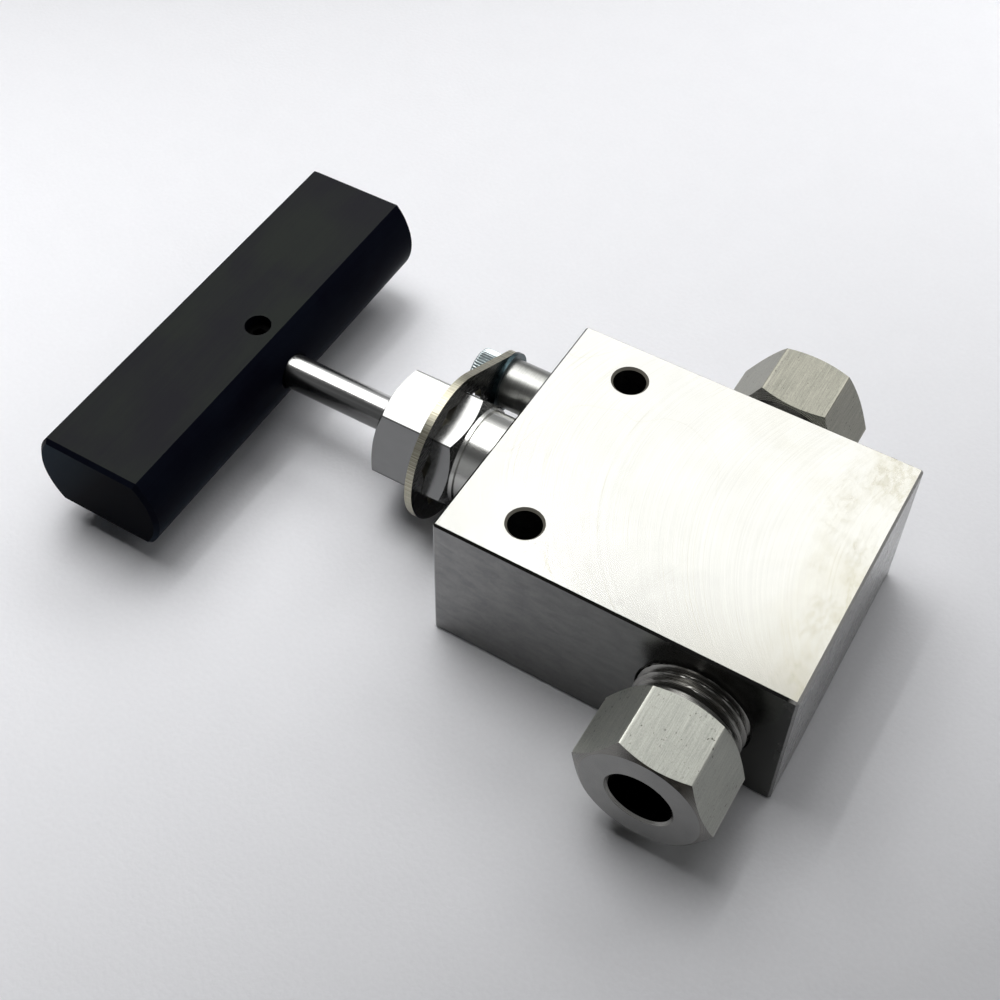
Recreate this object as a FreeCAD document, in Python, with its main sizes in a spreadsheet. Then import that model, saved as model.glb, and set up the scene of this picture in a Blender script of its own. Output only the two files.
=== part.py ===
import FreeCAD, Part
import math
import os

import Sketcher

# High pressure two-way needle valve, lying on the flat underside of its block.
# Millimetres. X runs along the stem, from the handle (-X) to the blind end of the block (+X).
# Y runs across the block, from the inlet side (-Y) to the outlet side (+Y). Z is up.
# The origin is on the underside, straight below the crossing of the stem axis and the inlet axis.

DOCUMENT = FreeCAD.newDocument("two_way_valve")
SHEET = DOCUMENT.addObject("Spreadsheet::Sheet", "Sizes")

# Driving dimensions. A setback is measured along the stem from the face that the gland screws into,
# and a depth is measured inwards from the face that a bore starts in.
DRIVING_SIZES = {
    # block
    "block_length": 62.0,
    "block_width": 50.8,
    "block_height": 28.6,
    "block_edge_chamfer": 0.4,
    "inlet_setback": 46.8,
    "outlet_setback": 36.4,
    "bolt_hole_diameter": 5.7,
    "bolt_hole_setback": 12.4,
    "bolt_hole_spacing": 35.4,
    "bolt_hole_chamfer": 0.42,
    "weep_hole_diameter": 1.6,
    # tube connections
    "tube_bore": 9.9,
    "port_thread": 19.05,
    "port_thread_pitch": 1.5875,
    "port_thread_depth": 16.0,
    "port_mouth_chamfer": 0.4,
    "port_cone_land": 0.6,
    "flow_bore": 3.2,
    # stem bore and seat in the block
    "stem_diameter": 5.0,
    "stem_bore": 5.2,
    "seat_top_offset": 2.6,
    "orifice": 2.4,
    # packing gland
    "gland_hex": 19.05,
    "gland_hex_angle": 68.2,
    "gland_hex_length": 15.55,
    "gland_face_circle": 18.4,
    "gland_stand_off": 7.3,
    "gland_shoulder_diameter": 18.6,
    "gland_shoulder_length": 0.7,
    "gland_neck_diameter": 17.8,
    "gland_neck_entry": 0.5,
    "gland_thread": 19.05,
    "gland_thread_depth": 12.0,
    "gland_thread_runout": 0.7,
    "gland_nose_diameter": 14.0,
    "gland_nose_length": 2.2,
    "gland_rod_bore": 6.6,
    "gland_rod_countersink": 0.5,
    # packing
    "packing_bore": 14.2,
    "packing_radial_play": 0.03,
    "upper_washer_thickness": 2.2,
    "packing_ring_thickness": 2.1,
    "lower_washer_thickness": 1.8,
    # stem and sleeve
    "rod_diameter": 6.5,
    "rod_end_chamfer": 0.5,
    "rod_flat_depth": 0.3,
    "rod_flat_length": 5.4,
    "sleeve_thread": 11.1,
    "sleeve_thread_pitch": 1.27,
    "sleeve_length": 14.0,
    "sleeve_to_washer_gap": 1.0,
    "sleeve_stop_gap": 0.2,
    "turns_to_open": 3.0,
    "sleeve_counterbore": 8.0,
    "retainer_thickness": 2.0,
    "retainer_slot_width": 1.2,
    "retainer_slot_depth": 0.8,
    "stem_head_diameter": 7.2,
    "stem_head_thickness": 1.8,
    "stem_head_play": 0.05,
    "thrust_washer_thickness": 1.0,
    "stem_neck_diameter": 3.8,
    "stem_neck_length": 7.0,
    "stem_tip_diameter": 0.6,
    "seat_gap": 0.05,
    # lock plate and its screw
    "plate_diameter": 27.8,
    "plate_thickness": 1.4,
    "plate_setback": 11.7,
    "plate_hex_clearance": 0.2,
    "plate_star_angle": 8.2,
    "ear_radius": 5.6,
    "lock_screw_offset": 18.0,
    "lock_screw_diameter": 4.9,
    "lock_screw_depth": 7.4,
    "lock_screw_head": 8.6,
    "lock_screw_head_height": 4.5,
    "lock_screw_head_round": 0.4,
    "lock_screw_socket": 4.0,
    "lock_screw_socket_depth": 2.4,
    "lock_screw_tap_gap": 0.6,
    "lock_screw_play": 0.25,
    "washer_diameter": 11.6,
    "washer_thickness": 0.8,
    "spacer_diameter": 9.4,
    # handle, whose angle is its turn about the stem while the valve is closed
    "handle_diameter": 25.4,
    "handle_flats": 16.6,
    "handle_length": 80.0,
    "handle_end_chamfer": 0.75,
    "handle_setback": 58.6,
    "handle_angle": 1.6,
    "handle_blind_wall": 6.7,
    "handle_countersink": 0.5,
    "set_screw_diameter": 4.8,
    "set_screw_offset": 5.6,
    "set_screw_length": 3.1,
    "set_screw_socket": 2.4,
    "set_screw_socket_depth": 1.5,
    # gland nuts and collars
    "nut_hex": 20.64,
    "nut_face_offset": 17.9,
    "nut_hex_length": 13.1,
    "nut_face_circle": 19.9,
    "nut_insertion": 8.2,
    "nut_relief_diameter": 17.0,
    "nut_bore": 10.6,
    "nut_mouth_chamfer": 0.45,
    "nut_cup_depth": 1.2,
    "inlet_nut_angle": 53.4,
    "outlet_nut_angle": 3.9,
    "collar_diameter": 15.6,
    "collar_bore": 8.8,
    "collar_length": 5.9,
    "collar_play": 0.25,
    "collar_front_chamfer": 1.2,
    # fits
    "running_fit": 0.03,
}

SIN_30 = 0.5
TAN_30 = math.tan(math.radians(30.0))
HEX_CORNER = 0.5 / math.cos(math.radians(30.0))  # corner radius of a hexagon one unit across flats
PACKING_RINGS = 3
CUT_OVERRUN = 2.0  # how far a cutting tool runs out past the stock
SIXTH_TURN = 60.0
TWELFTH_TURN = 30.0
SAME = 1e-6  # lengths closer than this are equal


class Length:
    """A length that knows both its number and the words for it in the sheet."""

    def __init__(self, number, words):
        self.number = number
        self.words = words

    def combine(self, other, sign, number):
        words = other.words if isinstance(other, Length) else repr(other)
        return Length(number, "(%s %s %s)" % (self.words, sign, words))

    def __add__(self, other):
        return self.combine(other, "+", self.number + plain(other))

    def __sub__(self, other):
        return self.combine(other, "-", self.number - plain(other))

    def __mul__(self, other):
        return self.combine(other, "*", self.number * plain(other))

    def __truediv__(self, other):
        return self.combine(other, "/", self.number / plain(other))

    def __neg__(self):
        return self * -1.0

    def turned_cosine(self, angle, step):
        number = math.cos(math.radians(angle.number + step)) * self.number
        return Length(number, "(%s * cos((%s + %r) * 1deg))" % (self.words, angle.words, step))

    def turned_sine(self, angle, step):
        number = math.sin(math.radians(angle.number + step)) * self.number
        return Length(number, "(%s * sin((%s + %r) * 1deg))" % (self.words, angle.words, step))


def plain(value):
    return value.number if isinstance(value, Length) else value


def fill_sheet():
    for row, (alias, value) in enumerate(DRIVING_SIZES.items(), start=1):
        SHEET.set("A%d" % row, alias)
        SHEET.set("B%d" % row, repr(value))
        SHEET.setAlias("B%d" % row, alias)
    DOCUMENT.recompute()


def size(alias):
    return Length(float(getattr(SHEET, alias)), "Sizes." + alias)


fill_sheet()
ZERO = size("running_fit") * 0.0
FIT = size("running_fit")


# Sketches and features

def new_body(name, along=ZERO, across=ZERO, yaw=0.0, roll=None):
    """A body whose own X axis is turned by yaw about Z, after a roll about itself."""
    body = DOCUMENT.addObject("PartDesign::Body", name)
    body.Label = name
    about_x = FreeCAD.Rotation(FreeCAD.Vector(1, 0, 0), roll.number if roll else 0.0)
    about_z = FreeCAD.Rotation(FreeCAD.Vector(0, 0, 1), yaw)
    height = size("block_height") / 2.0
    base = FreeCAD.Vector(along.number, across.number, height.number)
    body.Placement = FreeCAD.Placement(base, about_z.multiply(about_x))
    body.setExpression(".Placement.Base.x", along.words)
    body.setExpression(".Placement.Base.y", across.words)
    body.setExpression(".Placement.Base.z", height.words)
    return body


def new_sketch(body, role, shift=None):
    """A sketch on one of the body's own planes, moved along the plane's normal by shift."""
    sketch = body.newObject("Sketcher::SketchObject", body.Name + "_sketch")
    plane = next(item for item in body.Origin.OriginFeatures if item.Role == role)
    sketch.AttachmentSupport = [(plane, "")]
    sketch.MapMode = "FlatFace"
    if shift is not None:
        sketch.AttachmentOffset = FreeCAD.Placement(
            FreeCAD.Vector(0, 0, shift.number), FreeCAD.Rotation())
        sketch.setExpression(".AttachmentOffset.Base.z", shift.words)
    return sketch


def bind(sketch, constraint, words):
    index = sketch.addConstraint(constraint)
    sketch.setExpression("Constraints[%d]" % index, words)


def add_outline(sketch, corners):
    """A closed outline of straight edges, with each corner placed from the sketch's origin."""
    first = sketch.GeometryCount
    count = len(corners)
    for number, (start_x, start_y) in enumerate(corners):
        end_x, end_y = corners[(number + 1) % count]
        sketch.addGeometry(Part.LineSegment(
            FreeCAD.Vector(start_x.number, start_y.number, 0),
            FreeCAD.Vector(end_x.number, end_y.number, 0)), False)
    for number, (x, y) in enumerate(corners):
        edge = first + number
        following = first + (number + 1) % count
        sketch.addConstraint(Sketcher.Constraint("Coincident", edge, 2, following, 1))
        bind(sketch, Sketcher.Constraint("DistanceX", -1, 1, edge, 1, x.number), x.words)
        bind(sketch, Sketcher.Constraint("DistanceY", -1, 1, edge, 1, y.number), y.words)


def add_circle(sketch, x, y, diameter):
    circle = sketch.addGeometry(Part.Circle(
        FreeCAD.Vector(x.number, y.number, 0), FreeCAD.Vector(0, 0, 1), diameter.number / 2), False)
    bind(sketch, Sketcher.Constraint("Diameter", circle, diameter.number), diameter.words)
    bind(sketch, Sketcher.Constraint("DistanceX", -1, 1, circle, 3, x.number), x.words)
    bind(sketch, Sketcher.Constraint("DistanceY", -1, 1, circle, 3, y.number), y.words)


def hexagon(across_flats, roll, turn=0.0):
    """The corners of a hexagon about the sketch's origin, one of them at the roll angle."""
    radius = across_flats * HEX_CORNER
    angles = [turn + SIXTH_TURN * corner for corner in range(6)]
    return [(radius.turned_cosine(roll, angle), radius.turned_sine(roll, angle)) for angle in angles]


def rectangle(left, right, low, high):
    return [(left, low), (right, low), (right, high), (left, high)]


def pad(body, sketch, length, both_ways=False):
    feature = body.newObject("PartDesign::Pad", body.Name + "_pad")
    feature.Profile = sketch
    feature.Length = length.number
    feature.setExpression("Length", length.words)
    if both_ways:
        feature.SideType = "Symmetric"
    return settle(body, feature, adds=True)


def pocket(body, sketch, length, both_ways=False, backwards=False):
    feature = body.newObject("PartDesign::Pocket", body.Name + "_pocket")
    feature.Profile = sketch
    feature.Length = length.number
    feature.setExpression("Length", length.words)
    if both_ways:
        feature.SideType = "Symmetric"
    feature.Reversed = backwards
    return settle(body, feature, adds=False)


def revolve(body, sketch, cut=False, axis="H_Axis"):
    kind = "PartDesign::Groove" if cut else "PartDesign::Revolution"
    feature = body.newObject(kind, body.Name + ("_groove" if cut else "_revolution"))
    feature.Profile = sketch
    feature.ReferenceAxis = (sketch, [axis])
    feature.Angle = 360.0
    return settle(body, feature, adds=not cut)


def settle(body, feature, adds):
    """Recompute, and see that the feature really added or took away material."""
    base = feature.BaseFeature
    before = base.Shape.Volume if base else 0.0
    DOCUMENT.recompute()
    after = feature.Shape.Volume
    if (after <= before) if adds else (after >= before):
        raise RuntimeError("%s changed nothing" % feature.Name)
    return feature


def chamfer(body, feature, edges, length):
    names = [name for name, edge in named_edges(feature) if edges(edge)]
    if not names:
        raise RuntimeError("no edge to chamfer on " + feature.Name)
    result = body.newObject("PartDesign::Chamfer", body.Name + "_chamfer")
    result.Base = (feature, names)
    result.Size = length.number
    result.setExpression("Size", length.words)
    return settle(body, result, adds=False)


def named_edges(feature):
    return [("Edge%d" % number, edge) for number, edge in enumerate(feature.Shape.Edges, start=1)]


def turned_piece(name, corners, roll=None):
    """A piece of round section about the stem axis, from half of its lengthwise section."""
    body = new_body(name, roll=roll)
    sketch = new_sketch(body, "XZ_Plane")
    add_outline(sketch, corners)
    revolve(body, sketch)
    return body


def ring(name, start, end, inner_diameter, outer_diameter, across=ZERO):
    body = new_body(name, across=across)
    sketch = new_sketch(body, "XZ_Plane")
    add_outline(sketch, rectangle(start, end, inner_diameter / 2.0, outer_diameter / 2.0))
    revolve(body, sketch)
    return body


def chamfer_hex_end(body, face, inwards, across_flats, face_circle):
    """Turn a 30 degree chamfer on one end of a hexagon; inwards is the way to the other end."""
    outer = across_flats * HEX_CORNER + CUT_OVERRUN
    inner = face_circle / 2.0
    sketch = new_sketch(body, "XZ_Plane")
    add_outline(sketch, [(face, inner), (face + (outer - inner) * (TAN_30 * inwards), outer), (face, outer)])
    revolve(body, sketch, cut=True)


# Places along the stem axis, from the inlet axis at zero

BONNET = -size("inlet_setback")
OUTLET = BONNET + size("outlet_setback")
GLAND_THREAD_END = BONNET + size("gland_thread_depth")
PACKING_BORE_START = GLAND_THREAD_END + size("gland_thread_runout")
GLAND_NOSE_END = GLAND_THREAD_END + size("gland_nose_length")
UPPER_WASHER_END = GLAND_NOSE_END + size("upper_washer_thickness")
PACKING_END = UPPER_WASHER_END + size("packing_ring_thickness") * float(PACKING_RINGS)
PACKING_BORE_END = PACKING_END + size("lower_washer_thickness")
SEAT_TOP = OUTLET + size("seat_top_offset")
SEAT_END = SEAT_TOP + (size("stem_bore") - size("orifice")) / (2.0 * TAN_30)
FLOW_OVERRUN = size("flow_bore") / 4.0  # how far each passage runs on past the axis that it meets

HEX_START = BONNET - size("gland_stand_off") - size("gland_hex_length")
HEX_END = BONNET - size("gland_stand_off")
STEM_LIFT = size("sleeve_thread_pitch") * size("turns_to_open")
SLEEVE_END = GLAND_NOSE_END - size("sleeve_to_washer_gap")
SLEEVE_START = SLEEVE_END - size("sleeve_length")
SLEEVE_STOP = SLEEVE_START - STEM_LIFT - size("sleeve_stop_gap")
RETAINER_START = SLEEVE_END - size("retainer_thickness")
STEM_HEAD_END = RETAINER_START - size("stem_head_play")
STEM_HEAD_START = STEM_HEAD_END - size("stem_head_thickness")
COUNTERBORE_END = STEM_HEAD_START - size("stem_head_play") - size("thrust_washer_thickness")

PLATE_END = BONNET - size("plate_setback")
PLATE_START = PLATE_END - size("plate_thickness")
SPACER_START = PLATE_END + size("washer_thickness")
LOCK_SCREW_ACROSS = size("lock_screw_offset")
LOCK_SCREW_HOLE = size("lock_screw_diameter") + size("lock_screw_play") * 2.0

HANDLE_CENTRE = BONNET - size("handle_setback")
ROD_END = HANDLE_CENTRE - size("handle_diameter") / 2.0 + size("handle_blind_wall")
SET_SCREW_CENTRE = HANDLE_CENTRE + size("set_screw_offset")
ROD_FLAT_HEIGHT = size("rod_diameter") / 2.0 - size("rod_flat_depth")


def port_section(side):
    """Half section of one tube connection, on the side that the tube comes from (-1 or 1).

    Thread bore, short land of tube bore, 60 degree cone for the coned tube end, flow bore to the stem axis.
    """
    thread = size("port_thread") / 2.0
    tube = size("tube_bore") / 2.0
    flow = size("flow_bore") / 2.0
    mouth = size("block_width") / 2.0
    shoulder = mouth - size("port_thread_depth")
    cone_start = shoulder - size("port_cone_land")
    cone_end = cone_start - (tube - flow) / TAN_30
    lip = size("port_mouth_chamfer")
    half = [
        (ZERO, mouth), (thread + lip, mouth), (thread, mouth - lip), (thread, shoulder),
        (tube, shoulder), (tube, cone_start), (flow, cone_end), (flow, -FLOW_OVERRUN), (ZERO, -FLOW_OVERRUN),
    ]
    return [(radius, distance * float(side)) for radius, distance in half]


def valve_body():
    """The block: stem bore with its seat, two threaded tube connections, bolt holes and weep holes."""
    body = new_body("valve_body")
    left, right = BONNET, BONNET + size("block_length")
    half_width = size("block_width") / 2.0
    outline = new_sketch(body, "XY_Plane")
    add_outline(outline, rectangle(left, right, -half_width, half_width))
    block = pad(body, outline, size("block_height"), both_ways=True)
    chamfer(body, block, lambda edge: True, size("block_edge_chamfer"))

    # stem bore: gland thread, packing bore, guide bore, conical seat, orifice
    gland = size("gland_thread") / 2.0
    lip = size("port_mouth_chamfer")
    packing = size("packing_bore") / 2.0
    guide = size("stem_bore") / 2.0
    orifice = size("orifice") / 2.0
    stem_bore = new_sketch(body, "XZ_Plane")
    add_outline(stem_bore, [
        (BONNET, ZERO), (BONNET, gland + lip), (BONNET + lip, gland), (PACKING_BORE_START, gland),
        (PACKING_BORE_START, packing), (PACKING_BORE_END, packing), (PACKING_BORE_END, guide),
        (SEAT_TOP, guide), (SEAT_END, orifice), (FLOW_OVERRUN, orifice), (FLOW_OVERRUN, ZERO),
    ])
    revolve(body, stem_bore, cut=True)

    # tube connections: the inlet below the seat, the outlet above it
    for side, along in ((-1, ZERO), (1, OUTLET)):
        port = new_sketch(body, "XY_Plane")
        add_outline(port, [(along + radius, distance) for radius, distance in port_section(side)])
        axis = port.addGeometry(Part.LineSegment(
            FreeCAD.Vector(along.number, 0, 0),
            FreeCAD.Vector(along.number, side * size("block_width").number, 0)), True)
        port.addConstraint(Sketcher.Constraint("Vertical", axis))
        bind(port, Sketcher.Constraint("DistanceX", -1, 1, axis, 1, along.number), along.words)
        revolve(body, port, cut=True, axis="Axis0")

    # bolt holes straight through, with a chamfer at both ends
    bolts = new_sketch(body, "XY_Plane")
    bolt_x = BONNET + size("bolt_hole_setback")
    for side in (-0.5, 0.5):
        add_circle(bolts, bolt_x, size("bolt_hole_spacing") * side, size("bolt_hole_diameter"))
    holes = pocket(body, bolts, size("block_height") + CUT_OVERRUN, both_ways=True)
    radius = size("bolt_hole_diameter").number / 2
    chamfer(body, holes, lambda edge: is_bolt_hole_rim(edge, radius), size("bolt_hole_chamfer"))

    # threaded hole for the screw that holds the lock plate
    tapped = new_sketch(body, "YZ_Plane", BONNET)
    add_circle(tapped, LOCK_SCREW_ACROSS, ZERO, size("lock_screw_diameter") + FIT * 2.0)
    pocket(body, tapped, size("lock_screw_depth") + size("lock_screw_tap_gap"), backwards=True)

    # a weep hole from each thread bore down to the underside
    weeps = new_sketch(body, "XY_Plane")
    inset = size("block_width") / 2.0 - size("port_thread_depth") + size("weep_hole_diameter")
    add_circle(weeps, ZERO, -inset, size("weep_hole_diameter"))
    add_circle(weeps, OUTLET, inset, size("weep_hole_diameter"))
    pocket(body, weeps, size("block_height") / 2.0 + CUT_OVERRUN)
    return body


def is_bolt_hole_rim(edge, radius):
    curve = edge.Curve
    return (isinstance(curve, Part.Circle) and abs(curve.Radius - radius) < SAME
            and abs(abs(curve.Axis.z) - 1.0) < SAME)


def packing_gland():
    """Long hexagon with a threaded shank that presses the packing and carries the stem sleeve."""
    body = new_body("packing_gland")
    shank = new_sketch(body, "XZ_Plane")
    shoulder_end = HEX_END + size("gland_shoulder_length")
    neck_end = BONNET + size("gland_neck_entry")
    shoulder = size("gland_shoulder_diameter") / 2.0
    neck = size("gland_neck_diameter") / 2.0
    thread = size("gland_thread") / 2.0 - FIT
    nose = size("gland_nose_diameter") / 2.0
    add_outline(shank, [
        (HEX_END, ZERO), (HEX_END, shoulder), (shoulder_end, shoulder), (shoulder_end, neck),
        (neck_end, neck), (neck_end, thread), (GLAND_THREAD_END, thread), (GLAND_THREAD_END, nose),
        (GLAND_NOSE_END, nose), (GLAND_NOSE_END, ZERO),
    ])
    revolve(body, shank)

    flats = new_sketch(body, "YZ_Plane", HEX_START)
    add_outline(flats, hexagon(size("gland_hex"), size("gland_hex_angle")))
    pad(body, flats, size("gland_hex_length"))
    for face, inwards in ((HEX_START, 1.0), (HEX_END, -1.0)):
        chamfer_hex_end(body, face, inwards, size("gland_hex"), size("gland_face_circle"))

    # rod bore with a countersunk mouth, then the thread bore that the sleeve runs in
    bore = new_sketch(body, "XZ_Plane")
    rod = size("gland_rod_bore") / 2.0
    sink = size("gland_rod_countersink")
    sleeve = size("sleeve_thread") / 2.0
    add_outline(bore, [
        (HEX_START, ZERO), (HEX_START, rod + sink), (HEX_START + sink, rod), (SLEEVE_STOP, rod),
        (SLEEVE_STOP, sleeve), (GLAND_NOSE_END, sleeve), (GLAND_NOSE_END, ZERO),
    ])
    revolve(body, bore, cut=True)
    return body


def packing_stack():
    """Washer, soft packing rings and lower washer, from the gland's nose to the foot of the packing bore."""
    outer = size("packing_bore") - size("packing_radial_play") * 2.0
    inner = size("stem_diameter") + FIT * 2.0
    washer_bore = size("stem_bore")
    ring("upper_packing_washer", GLAND_NOSE_END, UPPER_WASHER_END, washer_bore, outer)
    for number in range(PACKING_RINGS):
        start = UPPER_WASHER_END + size("packing_ring_thickness") * float(number)
        end = start + size("packing_ring_thickness")
        ring("packing_ring_%d" % (number + 1), start, end, inner, outer)
    ring("lower_packing_washer", PACKING_END, PACKING_BORE_END, washer_bore, outer)


def stem_sleeve():
    """The handle's rod and, in one piece with it, the threaded sleeve that lifts the stem."""
    rod = size("rod_diameter") / 2.0
    bevel = size("rod_end_chamfer")
    thread = size("sleeve_thread") / 2.0 - FIT
    pocket_radius = size("sleeve_counterbore") / 2.0
    body = turned_piece("stem_sleeve", [
        (ROD_END, ZERO), (ROD_END, rod - bevel), (ROD_END + bevel, rod), (SLEEVE_START, rod),
        (SLEEVE_START, thread), (SLEEVE_END, thread), (SLEEVE_END, pocket_radius),
        (COUNTERBORE_END, pocket_radius), (COUNTERBORE_END, ZERO),
    ], size("handle_angle"))
    # the flat that the handle's set screw bears on
    flat = new_sketch(body, "XY_Plane", ROD_FLAT_HEIGHT)
    half = size("rod_flat_length") / 2.0
    add_outline(flat, rectangle(SET_SCREW_CENTRE - half, SET_SCREW_CENTRE + half, -rod, rod))
    pocket(body, flat, size("rod_flat_depth") + CUT_OVERRUN, backwards=True)
    return body


def lower_stem():
    """Needle that rises and falls without turning: button head, polished shank, neck and 60 degree point."""
    shank = size("stem_diameter") / 2.0
    neck = size("stem_neck_diameter") / 2.0
    tip = size("stem_tip_diameter") / 2.0
    cone_shift = (size("stem_bore") / 2.0 - neck) / TAN_30 - size("seat_gap") / SIN_30
    cone_start = SEAT_TOP + cone_shift
    cone_end = cone_start + (neck - tip) / TAN_30
    head = size("stem_head_diameter") / 2.0
    return turned_piece("lower_stem", [
        (STEM_HEAD_START, ZERO), (STEM_HEAD_START, head), (STEM_HEAD_END, head), (STEM_HEAD_END, shank),
        (cone_start - size("stem_neck_length"), shank), (cone_start - size("stem_neck_length"), neck),
        (cone_start, neck), (cone_end, tip), (cone_end, ZERO),
    ])


def stem_retainer():
    """Slotted ring screwed into the sleeve's end, under the button head of the stem."""
    body = ring("stem_retainer", RETAINER_START, SLEEVE_END, size("stem_bore"),
                size("sleeve_counterbore") - FIT * 2.0)
    slot = new_sketch(body, "XY_Plane")
    reach = size("sleeve_counterbore") / 2.0
    start = SLEEVE_END - size("retainer_slot_depth")
    add_outline(slot, rectangle(start, SLEEVE_END, -reach, reach))
    pocket(body, slot, size("retainer_slot_width"), both_ways=True)
    return body


def lock_plate():
    """Round plate with an ear, whose twelve-pointed hole keeps the gland's hexagon from turning."""
    body = new_body("lock_plate")
    sketch = new_sketch(body, "YZ_Plane", PLATE_START)
    disc = size("plate_diameter") / 2.0
    ear = size("ear_radius")
    offset = LOCK_SCREW_ACROSS
    # the angle, from the line of centres, at which the straight edges leave both arcs
    leave = math.acos((disc.number - ear.number) / offset.number)
    centre, ear_centre = FreeCAD.Vector(0, 0, 0), FreeCAD.Vector(offset.number, 0, 0)
    up = FreeCAD.Vector(math.cos(leave), math.sin(leave), 0)
    down = FreeCAD.Vector(math.cos(leave), -math.sin(leave), 0)
    axis = FreeCAD.Vector(0, 0, 1)
    sketch.addGeometry([
        Part.ArcOfCircle(Part.Circle(centre, axis, disc.number), leave, 2 * math.pi - leave),
        Part.LineSegment(centre + down * disc.number, ear_centre + down * ear.number),
        Part.ArcOfCircle(Part.Circle(ear_centre, axis, ear.number), -leave, leave),
        Part.LineSegment(ear_centre + up * ear.number, centre + up * disc.number),
    ], False)
    for first, first_end, second, second_end in ((0, 2, 1, 1), (1, 2, 2, 1), (2, 2, 3, 1), (3, 2, 0, 1)):
        sketch.addConstraint(Sketcher.Constraint("Tangent", first, first_end, second, second_end))
    sketch.addConstraint(Sketcher.Constraint("Coincident", 0, 3, -1, 1))
    sketch.addConstraint(Sketcher.Constraint("PointOnObject", 2, 3, -1))
    bind(sketch, Sketcher.Constraint("DistanceX", -1, 1, 2, 3, offset.number), offset.words)
    bind(sketch, Sketcher.Constraint("Radius", 0, disc.number), disc.words)
    bind(sketch, Sketcher.Constraint("Radius", 2, ear.number), ear.words)
    pad(body, sketch, size("plate_thickness"))

    # two hexagons a twelfth of a turn apart make the star
    across = size("gland_hex") + size("plate_hex_clearance")
    for turn in (0.0, TWELFTH_TURN):
        star = new_sketch(body, "YZ_Plane", PLATE_START)
        add_outline(star, hexagon(across, size("plate_star_angle"), turn))
        pocket(body, star, size("plate_thickness"), backwards=True)

    hole = new_sketch(body, "YZ_Plane", PLATE_START)
    add_circle(hole, offset, ZERO, LOCK_SCREW_HOLE)
    pocket(body, hole, size("plate_thickness"), backwards=True)
    return body


def lock_plate_screw():
    """Socket head cap screw through the plate's ear, washer and spacer into the block."""
    body = new_body("lock_plate_screw", across=LOCK_SCREW_ACROSS)
    head = size("lock_screw_head") / 2.0
    shank = size("lock_screw_diameter") / 2.0
    rounding = size("lock_screw_head_round")
    top = PLATE_START - size("lock_screw_head_height")
    foot = BONNET + size("lock_screw_depth")
    sketch = new_sketch(body, "XZ_Plane")
    add_outline(sketch, [
        (top, ZERO), (top, head - rounding), (top + rounding, head), (PLATE_START, head),
        (PLATE_START, shank), (foot - rounding, shank), (foot, shank - rounding), (foot, ZERO),
    ])
    revolve(body, sketch)
    socket = new_sketch(body, "YZ_Plane", top)
    add_outline(socket, hexagon(size("lock_screw_socket"), size("plate_star_angle")))
    pocket(body, socket, size("lock_screw_socket_depth"), backwards=True)
    return body


def handle():
    """Cross bar: round bar with two flats, bored from the side for the rod and tapped for its set screw."""
    body = new_body("handle", along=HANDLE_CENTRE, roll=size("handle_angle"))
    section = new_sketch(body, "XZ_Plane")
    radius = size("handle_diameter") / 2.0
    flat = size("handle_flats") / 2.0
    lift = math.asin(flat.number / radius.number)
    centre, axis = FreeCAD.Vector(0, 0, 0), FreeCAD.Vector(0, 0, 1)
    reach = radius.number * math.cos(lift)
    section.addGeometry([
        Part.ArcOfCircle(Part.Circle(centre, axis, radius.number), -lift, lift),
        Part.LineSegment(FreeCAD.Vector(reach, flat.number, 0), FreeCAD.Vector(-reach, flat.number, 0)),
        Part.ArcOfCircle(Part.Circle(centre, axis, radius.number), math.pi - lift, math.pi + lift),
        Part.LineSegment(FreeCAD.Vector(-reach, -flat.number, 0), FreeCAD.Vector(reach, -flat.number, 0)),
    ], False)
    for edge in range(4):
        section.addConstraint(Sketcher.Constraint("Coincident", edge, 2, (edge + 1) % 4, 1))
    for arc in (0, 2):
        section.addConstraint(Sketcher.Constraint("Coincident", arc, 3, -1, 1))
        bind(section, Sketcher.Constraint("Radius", arc, radius.number), radius.words)
    for line, height in ((1, flat), (3, -flat)):
        section.addConstraint(Sketcher.Constraint("Horizontal", line))
        bind(section, Sketcher.Constraint("DistanceY", -1, 1, line, 1, height.number), height.words)
    bar = pad(body, section, size("handle_length"), both_ways=True)
    end = size("handle_length").number / 2
    chamfer(body, bar, lambda edge: abs(abs(edge.CenterOfMass.y) - end) < SAME, size("handle_end_chamfer"))

    # blind bore for the rod, countersunk where it breaks out of the round side
    bore = new_sketch(body, "XZ_Plane")
    rod = size("rod_diameter") / 2.0 + FIT
    sink = size("handle_countersink")
    foot = size("handle_blind_wall") - radius - size("rod_end_chamfer")
    add_outline(bore, [
        (foot, ZERO), (foot, rod), (radius - sink, rod), (radius + sink, rod + sink * 2.0),
        (radius + sink, ZERO),
    ])
    revolve(body, bore, cut=True)

    tapped = new_sketch(body, "XY_Plane")
    add_circle(tapped, size("set_screw_offset"), ZERO, size("set_screw_diameter") + FIT * 2.0)
    pocket(body, tapped, size("handle_flats") / 2.0 + CUT_OVERRUN, backwards=True)
    return body


def handle_set_screw():
    """Headless socket screw that clamps the handle on the rod's flat."""
    body = new_body("handle_set_screw", along=SET_SCREW_CENTRE, roll=size("handle_angle"))
    base = new_sketch(body, "XY_Plane", ROD_FLAT_HEIGHT)
    add_circle(base, ZERO, ZERO, size("set_screw_diameter"))
    pad(body, base, size("set_screw_length"))
    top = ROD_FLAT_HEIGHT + size("set_screw_length")
    socket = new_sketch(body, "XY_Plane", top)
    add_outline(socket, hexagon(size("set_screw_socket"), ZERO))
    pocket(body, socket, size("set_screw_socket_depth"))
    return body


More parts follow.
